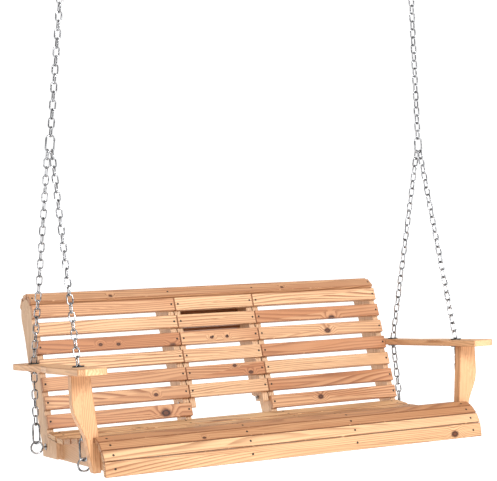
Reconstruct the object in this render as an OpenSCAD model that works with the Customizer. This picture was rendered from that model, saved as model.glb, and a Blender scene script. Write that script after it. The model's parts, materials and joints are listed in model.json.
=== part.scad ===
// Hanging wooden porch bench with a fold-down middle console.
// X runs along the bench, Y runs to the rear, Z is up. The origin is midway between the
// two ceiling eyes, on the wire that the chains swing on.

/* [Bench] */
// Length of the bench over its slats
bench_l = 1490; // [1450:10:1560]
// Thickness of the back supports, seat rails and console rails
board_t = 24; // [21:1:25]
// Thickness of every slat
slat_t = 18; // [16:0.5:18]
// Angle that the bench tips back as it hangs
hang_tilt = 7.4; // [0:0.1:10]

/* [Back] */
// Width of a back slat
back_slat_w = 51; // [44:1:54]
// Distance between the centres of two back slats
back_pitch = 69.7; // [66:0.1:69.8]

/* [Console] */
// Width of the opening between the two middle supports
console_gap = 344; // [342:1:352]
// Width of the console's slats
console_w = 337; // [326:1:338]

/* [Arms] */
// Thickness of an arm
arm_t = 23; // [20:1:24]
// Diameter of the hole that a chain passes through
arm_hole_d = 32; // [31.6:0.2:33]

/* [Chain] */
// Diameter of the chain's wire
wire_d = 5; // [4.6:0.1:5.1]
// Outer width of a link
link_w = 25; // [24:0.5:25.5]
// Distance between two links
link_pitch = 30.8; // [30.4:0.1:31]

/* [Hidden] */
$fn = 48;

// Sideways places: half the bench, the inner faces of its boards
half_l = bench_l / 2;
outer_x = half_l - board_t;
middle_x = console_gap / 2;
console_x = console_w / 2 - board_t - 0.5;
outer_rail_x = outer_x - board_t;
inner_rail_x = middle_x + board_t;
support_screws = [outer_x + board_t / 2, middle_x + board_t / 2];
rail_screws = [outer_rail_x + board_t / 2, inner_rail_x + board_t / 2];

// Back: the supports' front edge leans by the recline, in Y and Z
recline = 17;
up_back = [sin(recline), cos(recline)];
row_low = [576, 147.5];
back_foot = 91;
function edge_at(z) = row_low[0] + slat_t / cos(recline) + (z - row_low[1]) * tan(recline);
function row_at(row) = row_low + (8 - row) * back_pitch * up_back;
back_rear = [[834, 517], [801, 442], [779, 370], [751, 311], [722, 245], [697, 178], [671, 111],
    [645, 56], [643, 19]];

// Round top of the back
crown_r = 60;
crown_c = [776, 534];
crown_slat_w = 46;

// Upper faces of the seat slats, front edge and rear edge, in Y and Z
seat_faces = [
    [[0, 0], [5, 51.5]],
    [[6, 53], [25.2, 86.3]],
    [[26.5, 87.9], [54.4, 112.3]],
    [[56.2, 113.6], [88.5, 126.2]],
    [[94, 125.1], [170, 120]],
    [[180, 119], [248, 111.5]],
    [[258, 110.5], [326, 103.5]],
    [[336, 102.7], [404, 96]],
    [[414, 95.5], [482, 97]],
    [[492, 99.5], [575, 110.1]]];
front_slats = 5;
front_bevel = 4.5;
rail_floor = 14;
outer_rail_rear = 636;
inner_rail_rear = 610;

// Arms and posts
arm_top = 356.5;
arm_under = arm_top - arm_t;
post_y = [104, 138];

// Pivot of the console, in Y and Z
pivot = [638, 163];
pivot_d = 8;
swing_r = 411;

// Small hardware
screw_head_d = 8;
screw_l = 32;
hole_rear = [772.5, 621, arm_top - arm_t / 2];
hole_front = [764.5, 160, arm_top - arm_t / 2];
flange_d = 40;
flange_t = 4;
ring_r = 21.5;
ring_wire = 7;
bolt_front_at = [760, 160];
bolt_rear_at = [779, 607];
bolt_d = 8;
hook_size = [80, 33, 7];
apex_hook_size = [66, 36, 6];
hook_turn = 45;
gate_slot = 2.6;
gate_pin_d = 2;
fit = 0.3;

// Chains. A front leg has a link centred in its arm hole, links up to the apex and links down.
// A rear leg has a joint of two links in its hole, a little above the arm's middle
up_front = 25;
up_rear = 26;
down_front = 7;
down_rear = 7;
rear_lift = 9;
upper_links = 21;
upper_lean = 4.3;
side_step = 8;
apex_play = 4.7;
eye_r = 16;
eye_wire = 8;
shank_l = 60;
neck_l = 7;
function unit(v) = v / norm(v);
// Top wire of the hook that hangs a number of links under a point, over the eye bolt's X and Y
function hook_top(from, at, links) = let(drop = links * link_pitch - hook_size[2] / 2 - fit)
    [at[0], at[1], from[2] - sqrt(pow(drop, 2) - pow(at[0] - from[0], 2) - pow(at[1] - from[1], 2))];
knee_rear = hole_rear + [0, 0, rear_lift];
top_front = hook_top(hole_front, bolt_front_at, down_front + 0.5);
top_rear = hook_top(knee_rear, bolt_rear_at, down_rear);
ring_below_top = hook_size[0] - hook_size[2] - ring_wire - fit + ring_r;
bolt_front = top_front - [0, 0, ring_below_top];
bolt_rear = top_rear - [0, 0, ring_below_top];
// The front hole's link leans halfway between the leg above and the leg below
apex_guess = [768, 345, 1100];
front_lean = unit(unit(apex_guess - hole_front) + unit(hole_front - top_front));
knee_front = hole_front + front_lean * link_pitch / 2;
// The apex is where the two legs' lengths meet
function leg_l(links) = links * link_pitch - apex_hook_size[2] / 2 - apex_play;
leg_span = [knee_rear[1] - knee_front[1], knee_rear[2] - knee_front[2]];
leg_a = sqrt(pow(leg_l(up_front), 2) - pow(apex_guess[0] - side_step - knee_front[0], 2));
leg_b = sqrt(pow(leg_l(up_rear), 2) - pow(apex_guess[0] + side_step - knee_rear[0], 2));
leg_s = (pow(leg_a, 2) - pow(leg_b, 2) + pow(norm(leg_span), 2)) / (2 * norm(leg_span));
leg_h = sqrt(pow(leg_a, 2) - pow(leg_s, 2));
apex = [apex_guess[0],
    knee_front[1] + (leg_span[0] * leg_s - leg_span[1] * leg_h) / norm(leg_span),
    knee_front[2] + (leg_span[1] * leg_s + leg_span[0] * leg_h) / norm(leg_span)];
// Sideways shift of the leaning apex hook's lower bend
low_side = -(apex_hook_size[1] - apex_hook_size[2]) / 2 * sin(upper_lean);
// Upper chain, straight up but for its lean, to the ceiling eye's wire
upper_dir = unit([-tan(upper_lean), -sin(hang_tilt), cos(hang_tilt)]);
apex_top = apex + upper_dir * (apex_hook_size[0] - apex_hook_size[2]);
first_link = apex_top + upper_dir * (link_pitch / 2 - apex_hook_size[2] / 2 - fit);
eye_at = first_link + upper_dir * (link_pitch * (upper_links - 0.5) - eye_wire / 2 - fit);

// ---- helpers ----
// Puts a shape drawn in the bench's own axes where it hangs
module hung() rotate([-hang_tilt, 0, 0]) translate([0, -eye_at[1], -eye_at[2]]) children();
// Draws a shape at the right end and mirrored at the left end
module both_ends() {
    children();
    mirror([1, 0, 0]) children();
}
// Extrudes an outline drawn in Y and Z along X
module board(x, w) translate([x, 0, 0]) rotate([90, 0, 90]) linear_extrude(w) children();
// Section of a slat under the line from a to b, its lower edges drawn in by a bevel
module slat_section(a, b, bevel = 0) {
    run = norm(b - a);
    translate(a) rotate(atan2(b[1] - a[1], b[0] - a[0]))
        polygon([[0, 0], [bevel, -slat_t], [run - bevel, -slat_t], [run, 0]]);
}
function lower_edge(face, i) = let(u = unit(face[1] - face[0]), n = [u[1], -u[0]] * slat_t,
    cut = i < front_slats ? front_bevel : 0) [face[0] + n + u * cut, face[1] + n - u * cut];
// Turns Z to point along a direction that is near vertical, keeping X sideways
module along(v) rotate([atan2(-v[1], v[2]), 0, 0]) rotate([0, asin(v[0] / norm(v)), 0]) children();
// Countersunk screw driven down Z, its head just proud of the surface
module screw() rotate_extrude($fn = 24) polygon([[0, -screw_l], [2, 3 - screw_l], [2, -2.5],
    [screw_head_d / 2, -0.3], [screw_head_d / 2, 0.4], [0, 0.4]]);
// Screw at a sideways place and a point in Y and Z, driven against an outward direction
module screw_at(x, p, out) translate([x, p[0], p[1]]) rotate([-atan2(out[0], out[1]), 0, 0]) screw();

// ---- chain ----
// One link, long along Z and wide along X
module link() {
    bend_r = (link_w - wire_d) / 2;
    half = (link_pitch + wire_d + fit) / 2 - bend_r;
    for (s = [0, 180]) rotate([0, s, 0]) {
        translate([0, 0, half]) rotate([90, 0, 0])
            rotate_extrude(angle = 180) translate([bend_r, 0]) circle(d = wire_d, $fn = 16);
        translate([bend_r, 0, -half]) cylinder(d = wire_d, h = 2 * half, $fn = 16);
    }
}
// Links in a row from a point, each turned a quarter and a little twist from the last
module links(start, dir, count, turn, twist) for (i = [0:count - 1])
    translate(start + dir * link_pitch * i) along(dir) rotate([0, 0, turn + (90 + twist) * i]) link();
// The chain above a knee, up to the apex hook, and the chain below a point, down to its hook
module up_chain(knee, count, step, turn) {
    dir = unit(apex + [step + low_side, 0, 0] - knee);
    links(knee + dir * link_pitch / 2, dir, count, turn, 0);
}
module down_chain(from, low, count, twist) {
    dir = unit(from - low);
    for (i = [0:count - 1]) translate(from - dir * link_pitch * (i + 0.5))
        along(dir) rotate([0, 0, (90 + twist) * (i + 1)]) link();
}
module front_leg(step) {
    up_chain(knee_front, up_front, step, 90);
    translate(hole_front) along(front_lean) link();
    down_chain(2 * hole_front - knee_front, top_front, down_front, hook_turn / down_front);
}
module rear_leg(step) {
    up_chain(knee_rear, up_rear, step, 0);
    down_chain(knee_rear, top_rear, down_rear, hook_turn / down_rear);
}

// ---- snap hooks ----
// size holds a hook's length, width and wire; the gate's pivot is under the upper bend on +X
function hook_bend(size) = (size[1] - size[2]) / 2;
function hook_half(size) = size[0] / 2 - size[2] / 2 - hook_bend(size);
function gate_pivot(size) = [hook_bend(size), 0, hook_half(size) - size[2] / 2];
module hook(size) {
    bend = hook_bend(size);
    half = hook_half(size);
    wire = size[2];
    difference() {
        union() {
            for (s = [0, 180]) rotate([0, s, 0]) translate([0, 0, half]) rotate([90, 0, 0])
                rotate_extrude(angle = 180) translate([bend, 0]) circle(d = wire, $fn = 20);
            translate([-bend, 0, -half]) cylinder(d = wire, h = 2 * half, $fn = 20);
            translate([bend, 0, -half]) cylinder(d = wire, h = wire, $fn = 20);
            translate(gate_pivot(size)) cylinder(d = wire, h = wire / 2, $fn = 20);
            translate(gate_pivot(size)) sphere(d = wire, $fn = 20);
        }
        translate(gate_pivot(size) - [wire, gate_slot / 2, wire])
            cube([2 * wire, gate_slot, wire * 1.5 + 0.6]);
        translate(gate_pivot(size)) rotate([90, 0, 0]) cylinder(d = gate_pin_d, h = 2 * wire, center = true);
    }
}
// Gate of a hook: a round bar with a flat tongue on the pin
module gate(size) {
    wire = size[2];
    top = gate_pivot(size);
    end = -hook_half(size) + wire + fit;
    bar_top = top[2] - wire / 2 - 0.7;
    difference() {
        union() {
            translate([top[0], 0, end]) cylinder(d = wire - 1, h = bar_top - end, $fn = 20);
            translate(top) rotate([90, 0, 0])
                cylinder(d = wire - 1, h = gate_slot - 0.4, center = true, $fn = 20);
            translate([top[0] - 1.5, 0.2 - gate_slot / 2, bar_top - 1])
                cube([3, gate_slot - 0.4, top[2] - bar_top + 1]);
        }
        translate(top) rotate([90, 0, 0]) cylinder(d = gate_pin_d + 0.1, h = 2 * wire, center = true);
    }
}
module gate_pin(size) translate(gate_pivot(size)) rotate([90, 0, 0])
    cylinder(d = gate_pin_d, h = size[2] - 0.6, center = true);
// Places of the hooks: side is 1 at the right end and -1 at the left end
module at_apex(side) translate([side * apex[0], apex[1], apex[2]])
    along([side * upper_dir[0], upper_dir[1], upper_dir[2]])
    translate([0, 0, (apex_hook_size[0] - apex_hook_size[2]) / 2]) children();
module at_low(side, top) translate([side * top[0], top[1], top[2] - (hook_size[0] - hook_size[2]) / 2])
    rotate([0, 0, hook_turn * side]) children();
module every_low() for (side = [-1, 1], top = [top_front, top_rear]) at_low(side, top) children();

// ---- hardware ----
module ring(radius, wire) rotate([90, 0, 0])
    rotate_extrude() translate([radius, 0]) circle(d = wire, $fn = 20);
module eye_bolt(at) translate(at) {
    ring(ring_r, ring_wire);
    translate([-ring_r, 0, 0]) rotate([0, -90, 0])
        cylinder(d = bolt_d, h = at[0] - ring_r - outer_rail_x + 14);
}
module bolt_hole(at) translate([outer_rail_x - 1, at[1], at[2]]) rotate([0, 90, 0])
    cylinder(d = bolt_d, h = 3 * board_t);
module ceiling_eye() translate([0, 0, eye_r]) {
    ring(eye_r, eye_wire);
    translate([0, 0, eye_r]) cylinder(d = eye_wire - 1, h = neck_l + 1);
    translate([0, 0, eye_r + neck_l]) cylinder(d = eye_wire, h = shank_l);
}
module ceiling_eyes() color("silver") for (side = [-1, 1]) translate([side * eye_at[0], 0, 0]) ceiling_eye();
module upper_chains() color("silver") hung() both_ends()
    links(first_link, upper_dir, upper_links, 90, 0);
module apex_hooks() color("silver") hung() for (side = [-1, 1]) at_apex(side) hook(apex_hook_size);
module gate_apex_left() color("silver") hung() at_apex(-1) gate(apex_hook_size);
module gate_apex_right() color("silver") hung() at_apex(1) gate(apex_hook_size);
module lower_hooks() color("silver") hung() every_low() hook(hook_size);
module gate_front_left() color("silver") hung() at_low(-1, top_front) gate(hook_size);
module gate_rear_left() color("silver") hung() at_low(-1, top_rear) gate(hook_size);
module gate_front_right() color("silver") hung() at_low(1, top_front) gate(hook_size);
module gate_rear_right() color("silver") hung() at_low(1, top_rear) gate(hook_size);
module gate_pins() color("gray") hung() {
    every_low() gate_pin(hook_size);
    for (side = [-1, 1]) at_apex(side) gate_pin(apex_hook_size);
}
module chain_front_right() color("silver") hung() front_leg(side_step);
module chain_rear_right() color("silver") hung() rear_leg(-side_step);
module chain_front_left() color("silver") hung() mirror([1, 0, 0]) front_leg(-side_step);
module chain_rear_left() color("silver") hung() mirror([1, 0, 0]) rear_leg(side_step);
module eye_bolts() color("silver") hung() both_ends() {
    eye_bolt(bolt_front);
    eye_bolt(bolt_rear);
}
module washer(x, at, t, d) translate([x, at[1], at[2]]) rotate([0, 90, 0]) difference() {
    cylinder(d = d, h = t);
    translate([0, 0, -1]) cylinder(d = bolt_d, h = t + 2);
}
module bolt_washers() color("silver") hung() both_ends() {
    washer(outer_rail_x - 2, bolt_front, 2, 24);
    washer(outer_rail_x - 2, bolt_rear, 2, 24);
    washer(outer_x, bolt_front, 2, 24);
    washer(half_l, bolt_rear, 2, 24);
}
module bolt_nuts() color("silver") hung() both_ends() for (at = [bolt_front, bolt_rear])
    translate([outer_rail_x - 9, at[1], at[2]]) rotate([0, 90, 0]) difference() {
        cylinder(d = 15, h = 7, $fn = 6);
        translate([0, 0, -1]) cylinder(d = bolt_d, h = 9);
    }
// Half of a grommet: a flange on the arm's face and a sleeve halfway into its hole
module grommet() difference() {
    union() {
        translate([0, 0, arm_t / 2]) cylinder(d = flange_d, h = flange_t);
        cylinder(d = arm_hole_d, h = arm_t / 2 + 1);
    }
    translate([0, 0, -1]) cylinder(d = arm_hole_d - 3, h = arm_t);
}
module grommets_upper() color("#222222") hung() both_ends() for (at = [hole_front, hole_rear])
    translate(at) grommet();
module grommets_lower() color("#222222") hung() both_ends() for (at = [hole_front, hole_rear])
    translate(at) mirror([0, 0, 1]) grommet();

// ---- arms and posts ----
module arm() difference() {
    translate([0, 0, arm_under]) linear_extrude(arm_t) polygon([[half_l - 19, -12], [half_l + 60, -12],
        [half_l + 77, 8], [half_l + 77, 330], [half_l + 56, 453],
        [half_l + 67, 751], [half_l + 60, 760], [half_l, 760],
        [half_l, 540], [half_l - 19, 515]]);
    for (at = [hole_front, hole_rear]) translate([at[0], at[1], arm_under - 1])
        cylinder(d = arm_hole_d, h = arm_t + 2);
}
module arm_right() color("burlywood") hung() arm();
module arm_left() color("burlywood") hung() mirror([1, 0, 0]) arm();
// Outline of a post from the front, in X and Z
module post_outline() polygon([[outer_x, 5], [outer_x, 100], [half_l, arm_under], [half_l + 66, arm_under],
    [half_l + 66, 235], [half_l + 61, 205], [half_l + 50, 178], [half_l + 38, 155], [half_l + 26, 127],
    [half_l + 3, 5]]);
module post() translate([0, post_y[1], 0]) rotate([90, 0, 0])
    linear_extrude(post_y[1] - post_y[0]) post_outline();
module post_right() color("burlywood") hung() post();
module post_left() color("burlywood") hung() mirror([1, 0, 0]) post();
module arm_screws() color("dimgray") hung() both_ends() for (x = [half_l + 8, half_l + 56])
    translate([x, (post_y[0] + post_y[1]) / 2, arm_top]) screw();

// ---- seat ----
module rail(x, rear) board(x, board_t) polygon([[19.5, rail_floor],
    for (i = [0:len(seat_faces) - 1]) each lower_edge(seat_faces[i], i),
    [rear, seat_faces[9][1][1] - slat_t], [rear, rail_floor]]);
module outer_rails() color("peru") hung() both_ends() difference() {
    rail(outer_rail_x, outer_rail_rear);
    bolt_hole(bolt_front);
    bolt_hole(bolt_rear);
}
module inner_rails() color("peru") hung() both_ends() rail(inner_rail_x, inner_rail_rear);
module seat_slat(i) color(i % 2 == 0 ? "burlywood" : "tan") hung() difference() {
    board(-half_l, bench_l)
        slat_section(seat_faces[i][0], seat_faces[i][1], i < front_slats ? front_bevel : 0);
    for (side = [-1, 1]) translate([side * (half_l - board_t / 2), (post_y[0] + post_y[1]) / 2, 100])
        cube([board_t + 0.6, post_y[1] - post_y[0] + 0.6, 100], center = true);
}
module seat_slat_1() seat_slat(0);
module seat_slat_2() seat_slat(1);
module seat_slat_3() seat_slat(2);
module seat_slat_4() seat_slat(3);
module seat_slat_5() seat_slat(4);
module seat_slat_6() seat_slat(5);
module seat_slat_7() seat_slat(6);
module seat_slat_8() seat_slat(7);
module seat_slat_9() seat_slat(8);
module seat_slat_10() seat_slat(9);
// Narrow front slats take one screw a rail and the wide ones take two
module seat_screws() color("dimgray") hung() both_ends() for (x = rail_screws, i = [0:len(seat_faces) - 1])
    let(a = seat_faces[i][0], b = seat_faces[i][1], u = unit(b - a))
        for (part = i < front_slats - 1 ? [0.5] : [0.24, 0.76])
            screw_at(x, a + (b - a) * part, [-u[1], u[0]]);

// ---- back ----
// Section of a back slat in a row, and the outline of a back support
module row_section(row) slat_section(row_at(row) - up_back * back_slat_w / 2,
    row_at(row) + up_back * back_slat_w / 2);
module support_outline() {
    translate(crown_c) circle(r = crown_r);
    polygon(concat([[488, 19], [488, 79], [577, back_foot], [edge_at(back_foot), back_foot],
        crown_c + crown_r * [-cos(recline), sin(recline)], crown_c], back_rear));
}
module outer_supports() color("peru") hung() both_ends() difference() {
    board(outer_x, board_t) support_outline();
    bolt_hole(bolt_rear);
}
module middle_supports() color("peru") hung() both_ends() difference() {
    board(middle_x, board_t) support_outline();
    translate([middle_x - 1, pivot[0], pivot[1]]) rotate([0, 90, 0]) cylinder(d = pivot_d, h = board_t + 2);
}
module back_slats() for (row = [2:8]) board(middle_x - 1, half_l - middle_x + 1) row_section(row);
module back_slats_right() color("burlywood") hung() back_slats();
module back_slats_left() color("burlywood") hung() mirror([1, 0, 0]) back_slats();
module back_screws() color("dimgray") hung() both_ends() for (x = support_screws, row = [2:8])
    screw_at(x, row_at(row), [-up_back[1], up_back[0]]);
// Slat on the round top, facing an angle forward or back of straight up
module top_slat(angle) color("tan") hung() translate([0, crown_c[0], crown_c[1]]) rotate([-angle, 0, 0])
    translate([-half_l, -crown_slat_w / 2, crown_r]) cube([bench_l, crown_slat_w, slat_t]);
crown_angles = [-36, 8, 52];
module top_slat_front() top_slat(crown_angles[0]);
module top_slat_crown() top_slat(crown_angles[1]);
module top_slat_rear() top_slat(crown_angles[2]);
module top_screws() color("dimgray") hung() both_ends() for (x = support_screws, a = crown_angles)
    screw_at(x, crown_c + (crown_r + slat_t) * [sin(a), cos(a)], [sin(a), cos(a)]);

// ---- console ----
// Rails follow the supports' outline, cut clear of the top slats that they swing under
module console_outline() intersection() {
    support_outline();
    translate(pivot) circle(r = swing_r, $fn = 180);
    polygon([[600, 148], [590, 160], [560, 600], [900, 600], [900, 200], [668, 165], [660, 148]]);
}
module console_rails() color("peru") hung() both_ends() difference() {
    board(console_x, board_t) console_outline();
    translate([console_x - 1, pivot[0], pivot[1]]) rotate([0, 90, 0])
        cylinder(d = pivot_d + 0.1, h = board_t + 2);
}
module console_slats() color("burlywood") hung() for (row = [2:7])
    board(-console_w / 2, console_w) row_section(row);
module console_screws() color("dimgray") hung() {
    both_ends() for (row = [2:7]) screw_at(console_x + board_t / 2, row_at(row), [-up_back[1], up_back[0]]);
    for (x = [-31, 31]) screw_at(x, row_at(4), [-up_back[1], up_back[0]]);
}
module console_board() color("sienna") hung() board(-console_x, 2 * console_x)
    polygon([[770, 439], [787, 433], [823, 535], [806, 541]]);
module console_batten() color("peru") hung() board(-console_x, 2 * console_x)
    translate(row_at(4) - slat_t * [-up_back[1], up_back[0]]) rotate(90 - recline)
    translate([-20, -board_t]) square([40, board_t]);
// Each bolt has its head on the support, a collar as the spacer, and a nut inside the rail
module hinge_bolt() translate([0, pivot[0], pivot[1]]) rotate([0, 90, 0]) {
    translate([0, 0, console_x - 12]) cylinder(d = pivot_d, h = middle_x + board_t + 2 - console_x + 12);
    translate([0, 0, middle_x + board_t]) cylinder(d = 16, h = 5);
    translate([0, 0, console_w / 2 + 0.2]) cylinder(d = 18, h = middle_x - console_w / 2 - 0.2);
    translate([0, 0, console_x - 8]) cylinder(d = 15, h = 7.5, $fn = 6);
}
module hinge_bolts() color("silver") hung() both_ends() hinge_bolt();
// Bar between the middle supports that the console's rails rest back on
module console_stop() color("peru") hung() board(-middle_x, 2 * middle_x) translate(back_rear[1])
    rotate(atan2(back_rear[0][1] - back_rear[1][1], back_rear[0][0] - back_rear[1][0]))
    translate([6, -slat_t - fit]) square([40, slat_t]);

ceiling_eyes();
upper_chains();
apex_hooks();
gate_apex_left();
gate_apex_right();
chain_front_left();
chain_rear_left();
chain_front_right();
chain_rear_right();
lower_hooks();
gate_front_left();
gate_rear_left();
gate_front_right();
gate_rear_right();
gate_pins();
eye_bolts();
bolt_washers();
bolt_nuts();
grommets_upper();
grommets_lower();
arm_left();
arm_right();
post_left();
post_right();
arm_screws();
outer_rails();
inner_rails();
outer_supports();
middle_supports();
seat_slat_1();
seat_slat_2();
seat_slat_3();
seat_slat_4();
seat_slat_5();
seat_slat_6();
seat_slat_7();
seat_slat_8();
seat_slat_9();
seat_slat_10();
seat_screws();
top_slat_front();
top_slat_crown();
top_slat_rear();
top_screws();
back_slats_left();
back_slats_right();
back_screws();
hinge_bolts();
console_stop();
console_rails();
console_slats();
console_board();
console_batten();
console_screws();
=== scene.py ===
"""Looks of a hanging wooden porch bench: eased boards with grain and knots, zinc chain, black grommets."""
import json
import math

import bpy
import bmesh
from mathutils import Matrix, Vector


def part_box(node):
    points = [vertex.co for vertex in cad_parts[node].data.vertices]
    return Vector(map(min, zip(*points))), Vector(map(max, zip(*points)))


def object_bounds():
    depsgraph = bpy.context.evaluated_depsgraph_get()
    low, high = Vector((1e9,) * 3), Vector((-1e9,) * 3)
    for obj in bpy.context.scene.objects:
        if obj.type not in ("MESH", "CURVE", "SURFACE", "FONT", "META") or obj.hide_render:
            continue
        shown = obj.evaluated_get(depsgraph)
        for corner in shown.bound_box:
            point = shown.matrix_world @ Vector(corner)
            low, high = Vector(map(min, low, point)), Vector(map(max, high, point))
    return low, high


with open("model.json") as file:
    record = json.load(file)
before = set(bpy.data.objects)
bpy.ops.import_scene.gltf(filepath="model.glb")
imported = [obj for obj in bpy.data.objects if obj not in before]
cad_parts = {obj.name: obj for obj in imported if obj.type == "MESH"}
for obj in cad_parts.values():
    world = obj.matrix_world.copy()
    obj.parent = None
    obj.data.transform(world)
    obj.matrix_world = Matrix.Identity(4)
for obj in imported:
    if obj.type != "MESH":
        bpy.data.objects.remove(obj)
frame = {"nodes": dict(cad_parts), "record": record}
cad_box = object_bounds()
NODES = frame["nodes"]
SLOTS = {s["node"]: s["material_slot"] for s in frame["record"]["subparts"]}

# ---- palette, in linear light ----
WOOD = {
    # slot: (light wood, dark grain, reddish cast of the odd board)
    "seat_wood": ((0.70, 0.44, 0.235), (0.25, 0.095, 0.036), (0.43, 0.205, 0.092)),
    "back_wood": ((0.73, 0.45, 0.25), (0.27, 0.10, 0.038), (0.47, 0.205, 0.092)),
    "frame_wood": ((0.72, 0.485, 0.30), (0.46, 0.24, 0.115), (0.57, 0.335, 0.185)),
    "arm_wood": ((0.80, 0.48, 0.26), (0.47, 0.225, 0.10), (0.58, 0.30, 0.145)),
    # Painted shade: the board behind the console is coloured far darker than the other wood, standing in
    # for the shadow it sits in
    "board_wood": ((0.42, 0.205, 0.10), (0.17, 0.07, 0.03), (0.28, 0.125, 0.055)),
}
# Colours inside a knot and round it
KNOT_CORE = (0.020, 0.007, 0.004)
KNOT_RING = (0.12, 0.036, 0.013)

# Boards that are redder (up to 1) or paler (down to -1) than their neighbours: node, row, cast
CASTS = [
    ("back_slats_left", 0, 0.25),
    ("back_slats_left", 2, 1.00),
    ("back_slats_left", 3, -0.30),
    ("back_slats_left", 4, 0.55),
    ("back_slats_left", 5, 0.25),
    ("back_slats_left", 6, 0.40),
    ("back_slats_right", 1, 0.65),
    ("back_slats_right", 2, 0.20),
    ("back_slats_right", 3, 0.75),
    ("back_slats_right", 5, 0.70),
    ("back_slats_right", 6, 0.40),
    ("console_slats", 1, 0.20),
    ("console_slats", 2, 0.30),
    ("console_slats", 4, 0.60),
    ("top_slat_front", 0, 0.45),
    ("seat_slat_1", 0, 0.18),
    ("seat_slat_2", 0, 0.15),
    # Seat slats 3 to 8 carry strong casts: partly their own redder tone, partly painted shade that darkens
    # the seat's upward faces, which take less of the frontal light
    ("seat_slat_3", 0, 0.80),
    ("seat_slat_4", 0, 1.00),
    ("seat_slat_5", 0, 0.90),
    ("seat_slat_6", 0, 0.70),
    ("seat_slat_7", 0, 0.50),
    ("seat_slat_8", 0, 0.70),
    ("arm_left", 0, -0.10),
    ("arm_right", 0, -0.15),
    ("post_left", 0, 0.40),
    ("post_right", 0, 0.40),
    ("outer_rails", 0, 0.80),
    ("outer_supports", 0, 0.25),
]


# Growth rings to a metre of board, and how far a board's squared edges are rounded, in metres
RINGS = 128.0
BOARD_ROUND = 0.0022
ARM_ROUND = 0.003
# Two corners of a mesh nearer than this, in metres, are one corner
SAME_POINT = 1e-5
# How far the floor lies under the bench, and half its width, in metres
FLOOR_DROP = 0.42
FLOOR_REACH = 60.0
# Where the camera stands, from the middle of the apron's front lower edge, and its turn in degrees
CAMERA_PLACE = Vector((-2.2988, -4.0930, 1.1066))
CAMERA_YAW, CAMERA_PITCH, CAMERA_ROLL = 26.765, -4.358, -0.416


# ---- node helpers ----
class Tree:
    """A material's node tree, with short calls for the nodes that the woods and metals share."""

    def __init__(self, name):
        self.material = bpy.data.materials.new(name)
        self.material.use_nodes = True
        self.tree = self.material.node_tree
        self.shader = self.tree.nodes["Principled BSDF"]

    def add(self, kind, **settings):
        node = self.tree.nodes.new(kind)
        for key, value in settings.items():
            setattr(node, key, value)
        return node

    def join(self, output, socket):
        self.tree.links.new(output, socket)

    def feed(self, value, socket):
        """Links an output, or sets a plain value."""
        if isinstance(value, bpy.types.NodeSocket):
            self.join(value, socket)
        else:
            socket.default_value = value

    def math(self, operation, a, b=0.0, clamp=False):
        node = self.add("ShaderNodeMath", operation=operation, use_clamp=clamp)
        self.feed(a, node.inputs[0])
        self.feed(b, node.inputs[1])
        return node.outputs[0]

    def vector(self, operation, a, b):
        node = self.add("ShaderNodeVectorMath", operation=operation)
        self.feed(a, node.inputs[0])
        self.feed(b, node.inputs[1])
        return node.outputs[1] if operation in ("LENGTH", "DISTANCE") else node.outputs[0]

    def noise(self, vector, scale, detail=3.0, rough=0.5):
        node = self.add("ShaderNodeTexNoise")
        self.feed(vector, node.inputs["Vector"])
        node.inputs["Scale"].default_value = scale
        node.inputs["Detail"].default_value = detail
        node.inputs["Roughness"].default_value = rough
        return node.outputs["Fac"]

    def span(self, value, low, high, to_low=0.0, to_high=1.0, smooth=True):
        node = self.add("ShaderNodeMapRange", interpolation_type="SMOOTHSTEP" if smooth else "LINEAR")
        self.feed(value, node.inputs["Value"])
        for key, number in (("From Min", low), ("From Max", high), ("To Min", to_low), ("To Max", to_high)):
            node.inputs[key].default_value = number
        return node.outputs["Result"]

    def mix(self, factor, a, b, blend="MIX"):
        node = self.add("ShaderNodeMix", data_type="RGBA", blend_type=blend)
        self.feed(factor, node.inputs[0])
        self.feed(a if isinstance(a, bpy.types.NodeSocket) else (*a, 1.0), node.inputs[6])
        self.feed(b if isinstance(b, bpy.types.NodeSocket) else (*b, 1.0), node.inputs[7])
        return node.outputs[2]

    def bump(self, height, strength, distance):
        node = self.add("ShaderNodeBump")
        node.inputs["Strength"].default_value = strength
        node.inputs["Distance"].default_value = distance
        self.join(height, node.inputs["Height"])
        self.join(node.outputs["Normal"], self.shader.inputs["Normal"])


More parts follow.
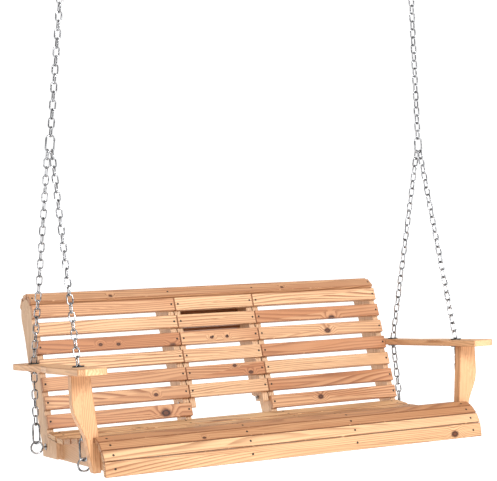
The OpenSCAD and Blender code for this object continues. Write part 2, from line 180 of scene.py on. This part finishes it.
def wood(name, slot, turn, seed, knots=(), casts=(), shaded_edges=False):
    """Sealed softwood. turn brings the board's long side to X; knots are (centre, radius) in metres.

    This flag gives the look of the eased edges: mostly painted shade that darkens them, broken by a few
    paler places."""
    light, dark, pink = WOOD[slot]
    t = Tree(name)
    place = t.add("ShaderNodeTexCoord").outputs["Object"]
    piece = t.add("ShaderNodeNewGeometry").outputs["Random Per Island"]
    turned = t.add("ShaderNodeVectorRotate", rotation_type="EULER_XYZ")
    turned.inputs["Rotation"].default_value = turn
    t.join(place, turned.inputs["Vector"])
    # Each board is cut from its own place in the tree
    shift = t.add("ShaderNodeCombineXYZ")
    t.join(t.math("MULTIPLY", piece, 37.0), shift.inputs[0])
    t.join(t.math("MULTIPLY", piece, 5.3), shift.inputs[1])
    shift.inputs[2].default_value = 0.37 * seed
    board = t.vector("ADD", turned.outputs[0], shift.outputs[0])
    # Knots push the rings aside and darken what is inside them
    push = None
    core = None
    for centre, radius in knots:
        flat = t.vector("SUBTRACT", place, tuple(centre))
        away = t.vector("LENGTH", t.vector("MULTIPLY", flat, (0.72, 1.0, 1.0)), (0, 0, 0))
        rim = t.math("ADD", away, t.math("MULTIPLY", t.noise(place, 95.0), radius * 0.35))
        near = t.span(rim, radius * 0.2, radius * 3.4, 1.0, 0.0)
        inside = t.span(rim, radius * 0.85, radius * 1.20, 1.0, 0.0)
        push = near if push is None else t.math("MAXIMUM", push, near)
        core = inside if core is None else t.math("MAXIMUM", core, inside)
    # Rings round a far axis, stretched along the board, give long cathedral figures
    stretched = t.vector("MULTIPLY", board, (0.11, 1.0, 1.0))
    wander = t.noise(stretched, 5.0, 2.0)
    bend = t.math("MULTIPLY", wander, 0.16)
    if push is not None:
        bend = t.math("ADD", bend, t.math("MULTIPLY", push, 0.020))
    parts = t.add("ShaderNodeSeparateXYZ")
    t.join(stretched, parts.inputs[0])
    y_far = t.math("ADD", parts.outputs[1], 0.09)
    across, up = t.math("POWER", y_far, 2.0), t.math("POWER", parts.outputs[2], 2.0)
    ring_radius = t.math("SQRT", t.math("ADD", across, up))
    ring = t.math("FRACT", t.math("MULTIPLY", t.math("ADD", ring_radius, bend), RINGS))
    late = t.math("MULTIPLY", t.span(ring, 0.30, 0.86), t.span(ring, 0.90, 1.0, 1.0, 0.0))
    # Fine fibres and slow patches of colour
    fibre = t.noise(t.vector("MULTIPLY", board, (3.0, 190.0, 190.0)), 1.0, 4.0, 0.6)
    patch = t.noise(t.vector("MULTIPLY", board, (1.6, 9.0, 9.0)), 1.0, 2.0)
    streak = t.noise(t.vector("MULTIPLY", board, (0.9, 34.0, 34.0)), 1.0, 2.0)
    # Each board has its own share of red, more in patches
    draw = t.math("FRACT", t.math("MULTIPLY", t.math("ADD", piece, 0.083 * seed), 7.31))
    redness = t.math("ADD", t.math("MULTIPLY", draw, 0.24), t.math("MULTIPLY", patch, 0.70))
    cast = t.span(redness, 0.38, 0.95)
    height = t.add("ShaderNodeSeparateXYZ")
    t.join(place, height.inputs[0])
    for middle, reach, amount in casts:
        here = t.add("ShaderNodeMath", operation="COMPARE")
        t.join(height.outputs[2], here.inputs[0])
        here.inputs[1].default_value = middle
        here.inputs[2].default_value = reach
        cast = t.math("ADD", cast, t.math("MULTIPLY", here.outputs[0], amount), clamp=True)
    colour = t.mix(cast, light, pink)
    colour = t.mix(t.math("MULTIPLY", late, t.span(streak, 0.25, 0.75, 0.35, 1.0)), colour, dark)
    colour = t.mix(t.span(fibre, 0.48, 0.78, 0.0, 0.42), colour, dark)
    colour = t.mix(t.span(streak, 0.60, 0.85, 0.0, 0.35), colour, pink)
    if core is not None:
        whorl = t.math("FRACT", t.math("MULTIPLY", push, 9.0))
        halo = t.math("MULTIPLY", t.span(push, 0.60, 0.95), 0.80)
        colour = t.mix(halo, colour, KNOT_RING)
        colour = t.mix(core, colour, t.mix(t.span(whorl, 0.2, 0.8), KNOT_CORE, KNOT_RING))
    # Painted shade on the eased edges: their colour is pulled most of the way to the dark grain colour,
    # with a few paler spots left
    if shaded_edges:
        edge_shade_breakup = t.span(t.noise(place, 60.0, 3.0), 0.60, 0.74)
        colour = t.mix(0.78, colour, t.mix(edge_shade_breakup, dark, light))
    t.join(colour, t.shader.inputs["Base Color"])
    t.join(t.span(late, 0.0, 1.0, 0.52, 0.40), t.shader.inputs["Roughness"])
    t.shader.inputs["Specular IOR Level"].default_value = 0.38
    t.bump(t.math("ADD", t.math("MULTIPLY", late, 0.5), t.math("MULTIPLY", fibre, 0.6)), 0.35, 0.0006)
    return t.material


def zinc(name, rough):
    """Zinc plate with faint spangles and rougher patches, and painted dark reflections in its colour."""
    t = Tree(name)
    place = t.add("ShaderNodeTexCoord").outputs["Object"]
    spangle = t.noise(place, 420.0, 2.0)
    dullness_and_painted_reflection = t.noise(place, 60.0, 3.0)
    # Painted reflection: the dark end of the spangles and the near-black patches stand in for dark
    # surroundings mirrored in the plate; the spangles and the rougher patches are the plate's own
    colour = t.mix(spangle, (0.11, 0.112, 0.12), (0.70, 0.705, 0.72))
    colour = t.mix(t.span(dullness_and_painted_reflection, 0.48, 0.62, 0.0, 0.75), colour, (0.03, 0.031, 0.033))
    t.join(colour, t.shader.inputs["Base Color"])
    t.shader.inputs["Metallic"].default_value = 1.0
    t.join(t.span(dullness_and_painted_reflection, 0.3, 0.7, rough, rough + 0.16), t.shader.inputs["Roughness"])
    t.bump(spangle, 0.25, 0.0003)
    return t.material


def black_plastic(name):
    """Moulded black nylon with a fine grain and scuffs that catch the light."""
    t = Tree(name)
    place = t.add("ShaderNodeTexCoord").outputs["Object"]
    grain = t.noise(place, 900.0, 2.0)
    scuff = t.noise(place, 130.0, 4.0, 0.7)
    t.join(t.mix(t.span(scuff, 0.58, 0.75), (0.012, 0.012, 0.013), (0.05, 0.05, 0.05)),
           t.shader.inputs["Base Color"])
    t.join(t.span(scuff, 0.3, 0.7, 0.36, 0.55), t.shader.inputs["Roughness"])
    t.bump(grain, 0.3, 0.0002)
    return t.material


def screw_metal(name):
    """Coated deck screw, bronze-brown and rubbed bright in places."""
    t = Tree(name)
    place = t.add("ShaderNodeTexCoord").outputs["Object"]
    rub = t.noise(place, 300.0, 3.0)
    colour = t.mix(t.span(rub, 0.5, 0.7), (0.018, 0.010, 0.007), (0.09, 0.055, 0.036))
    t.join(colour, t.shader.inputs["Base Color"])
    t.shader.inputs["Metallic"].default_value = 0.45
    t.join(t.span(rub, 0.3, 0.7, 0.42, 0.6), t.shader.inputs["Roughness"])
    t.bump(rub, 0.2, 0.0003)
    return t.material


# ---- CAD nodes ----
def islands(obj):
    """Boxes of the separate solids of a CAD node, as (lowest corner, highest corner)."""
    bm = bmesh.new()
    bm.from_mesh(obj.data)
    bmesh.ops.remove_doubles(bm, verts=bm.verts, dist=SAME_POINT)
    seen = set()
    boxes = []
    for start in bm.verts:
        if start in seen:
            continue
        stack, found = [start], []
        seen.add(start)
        while stack:
            vert = stack.pop()
            found.append(vert.co.copy())
            for edge in vert.link_edges:
                other = edge.other_vert(vert)
                if other not in seen:
                    seen.add(other)
                    stack.append(other)
        boxes.append((Vector(map(min, *found)), Vector(map(max, *found))))
    bm.free()
    return boxes


def ease(obj, width):
    """Rounds a CAD board's edges with modifiers and smooths the shading over them."""
    weld = obj.modifiers.new("weld", "WELD")
    weld.merge_threshold = SAME_POINT
    bevel = obj.modifiers.new("ease", "BEVEL")
    bevel.width = width
    bevel.segments = 3
    bevel.limit_method = "ANGLE"
    bevel.angle_limit = math.radians(38)
    bevel.material = 1
    normal = obj.modifiers.new("normals", "WEIGHTED_NORMAL")
    normal.keep_sharp = True


def paint(obj, *materials):
    obj.data.materials.clear()
    for material in materials:
        obj.data.materials.append(material)


def row(node, number):
    """Box of the back slat in a row, counted from the top row of the node."""
    found = sorted(islands(NODES[node]), key=lambda b: -b[0].z)
    return found[number]


def spot(bounds_of, across, up):
    """A point on a board's front face: across its length and up its height, from 0 to 1."""
    low, high = bounds_of
    x = low.x + (high.x - low.x) * across
    z = low.z + (high.z - low.z) * up
    y = low.y + (high.y - low.y) * (0.5 * up)
    return Vector((x, y, z))


ALONG_X = (0.0, 0.0, 0.0)
ALONG_Y = (0.0, 0.0, -math.pi / 2)
ALONG_Z = (0.0, math.pi / 2, 0.0)

# Knots: node, row from its top, place across and up the face, radius in metres
KNOTS = [
    ("arm_left", 0, 0.80, 0.0, 0.014),
    ("back_slats_left", 2, 0.43, 0.50, 0.007),
    ("back_slats_left", 2, 0.555, 0.45, 0.007),
    ("back_slats_left", 2, 0.94, 0.08, 0.012),
    ("back_slats_left", 5, 0.76, 0.50, 0.007),
    ("back_slats_left", 6, 0.81, 0.45, 0.016),
    ("back_slats_right", 1, 0.60, 0.12, 0.013),
    ("back_slats_right", 2, 0.545, 0.45, 0.011),
    ("back_slats_right", 6, 0.385, 0.60, 0.010),
    ("console_slats", 2, 0.39, 0.50, 0.006),
    ("console_slats", 2, 0.587, 0.50, 0.006),
    ("console_slats", 4, 0.617, 0.85, 0.007),
    ("console_slats", 4, 0.81, 0.30, 0.008),
    ("top_slat_front", 0, 0.215, 0.52, 0.007),
    ("top_slat_front", 0, 0.715, 0.60, 0.006),
    ("seat_slat_1", 0, 0.92, 0.35, 0.012),
    ("seat_slat_3", 0, 0.25, 0.50, 0.006),
    ("seat_slat_5", 0, 0.42, 0.55, 0.007),
    ("seat_slat_8", 0, 0.63, 0.50, 0.010),
    ("seat_slat_10", 0, 0.22, 0.50, 0.011),
]


def knots_of(node):
    return [(spot(row(node, number), across, up), radius)
            for name, number, across, up, radius in KNOTS if name == node]


def casts_of(node):
    """Middle height, half height and amount of each cast on a node's boards."""
    found = []
    for name, number, amount in CASTS:
        if name == node:
            low, high = row(node, number)
            found.append(((low.z + high.z) / 2, (high.z - low.z) / 2, amount))
    return found


def turn_of(node):
    """Which way a node's boards run."""
    if node.startswith("post") or node.endswith("supports") or node == "console_rails":
        return ALONG_Z
    if node.endswith("rails") or node.startswith("arm_"):
        return ALONG_Y
    return ALONG_X


metals = {
    "chain_zinc": zinc("zinc_chain", 0.12),
    "hardware_zinc": zinc("zinc_hardware", 0.22),
    "grommet_black": black_plastic("black_nylon"),
    "screw_steel": screw_metal("coated_screw"),
}
for index, (node, obj) in enumerate(sorted(NODES.items())):
    slot = SLOTS[node]
    if slot in WOOD:
        look = (slot, turn_of(node), index, knots_of(node), casts_of(node))
        # The second material, put on the eased edges by the bevel, carries the painted edge shade
        paint(obj, wood("wood_" + node, *look), wood("edge_" + node, *look, shaded_edges=True))
        ease(obj, ARM_ROUND if slot == "arm_wood" else BOARD_ROUND)
    else:
        paint(obj, metals[slot])


# ---- stage, light and camera ----
def floor():
    """Wide pale floor under the bench."""
    low, high = cad_box
    mesh = bpy.data.meshes.new("floor")
    bm = bmesh.new()
    bmesh.ops.create_grid(bm, x_segments=1, y_segments=1, size=FLOOR_REACH)
    bm.to_mesh(mesh)
    bm.free()
    obj = bpy.data.objects.new("floor", mesh)
    obj.location = (0.0, 0.0, low.z - FLOOR_DROP)
    bpy.context.scene.collection.objects.link(obj)
    t = Tree("pale_floor")
    t.shader.inputs["Base Color"].default_value = (0.93, 0.93, 0.93, 1.0)
    t.shader.inputs["Roughness"].default_value = 0.9
    t.shader.inputs["Emission Color"].default_value = (1.0, 1.0, 1.0, 1.0)
    t.shader.inputs["Emission Strength"].default_value = 0.60
    mesh.materials.append(t.material)


def area_light(name, place, target, size, power, colour=(1.0, 1.0, 1.0)):
    data = bpy.data.lights.new(name, "AREA")
    data.shape = "SQUARE"
    data.size = size
    data.energy = power
    data.color = colour
    obj = bpy.data.objects.new(name, data)
    obj.location = place
    obj.rotation_mode = "QUATERNION"
    obj.rotation_quaternion = (Vector(target) - Vector(place)).to_track_quat("-Z", "Y")
    bpy.context.scene.collection.objects.link(obj)


def studio():
    """White cove: the backdrop is plain white, and the light on the bench is dimmer from low down."""
    world = bpy.data.worlds.new("studio")
    world.use_nodes = True
    nodes, links = world.node_tree.nodes, world.node_tree.links
    out = nodes["World Output"]
    backdrop = nodes["Background"]
    backdrop.inputs["Color"].default_value = (1.0, 1.0, 1.0, 1.0)
    backdrop.inputs["Strength"].default_value = 1.05
    ambient = nodes.new("ShaderNodeBackground")
    ambient.inputs["Strength"].default_value = 0.74
    place = nodes.new("ShaderNodeTexCoord")
    parts = nodes.new("ShaderNodeSeparateXYZ")
    ramp = nodes.new("ShaderNodeValToRGB")
    ramp.color_ramp.elements[0].position = 0.42
    ramp.color_ramp.elements[0].color = (0.10, 0.10, 0.11, 1.0)
    ramp.color_ramp.elements[1].position = 0.80
    ramp.color_ramp.elements[1].color = (1.0, 1.0, 1.0, 1.0)
    rise = nodes.new("ShaderNodeMath")
    rise.operation = "MULTIPLY_ADD"
    rise.inputs[1].default_value = 0.5
    rise.inputs[2].default_value = 0.5
    path = nodes.new("ShaderNodeLightPath")
    pick = nodes.new("ShaderNodeMixShader")
    links.new(place.outputs["Generated"], parts.inputs[0])
    links.new(parts.outputs[2], rise.inputs[0])
    links.new(rise.outputs[0], ramp.inputs[0])
    links.new(ramp.outputs[0], ambient.inputs["Color"])
    links.new(path.outputs["Is Camera Ray"], pick.inputs[0])
    links.new(ambient.outputs[0], pick.inputs[1])
    links.new(backdrop.outputs[0], pick.inputs[2])
    links.new(pick.outputs[0], out.inputs["Surface"])
    bpy.context.scene.world = world
    bpy.context.scene.view_settings.view_transform = "Standard"
    seat = Vector((0.0, 0.1, -1.4))
    area_light("key", (-0.3, -4.5, 1.1), seat, 1.5, 228.0)
    area_light("fill", (3.4, -2.2, 0.6), seat, 2.0, 45.0)


def camera():
    """Standing in front and to the left, with a short telephoto lens."""
    data = bpy.data.cameras.new("camera")
    data.lens = 99.14
    data.sensor_width = 36.0
    obj = bpy.data.objects.new("camera", data)
    yaw, pitch, roll = (math.radians(a) for a in (CAMERA_YAW, CAMERA_PITCH, CAMERA_ROLL))
    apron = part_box("seat_slat_1")[0]
    stand = Vector((0.0, apron.y, apron.z)) + CAMERA_PLACE
    obj.matrix_world = (Matrix.Translation(stand) @ Matrix.Rotation(-yaw, 4, "Z")
                        @ Matrix.Rotation(math.pi / 2 + pitch, 4, "X") @ Matrix.Rotation(-roll, 4, "Z"))
    bpy.context.scene.collection.objects.link(obj)
    bpy.context.scene.camera = obj


floor()
studio()
camera()
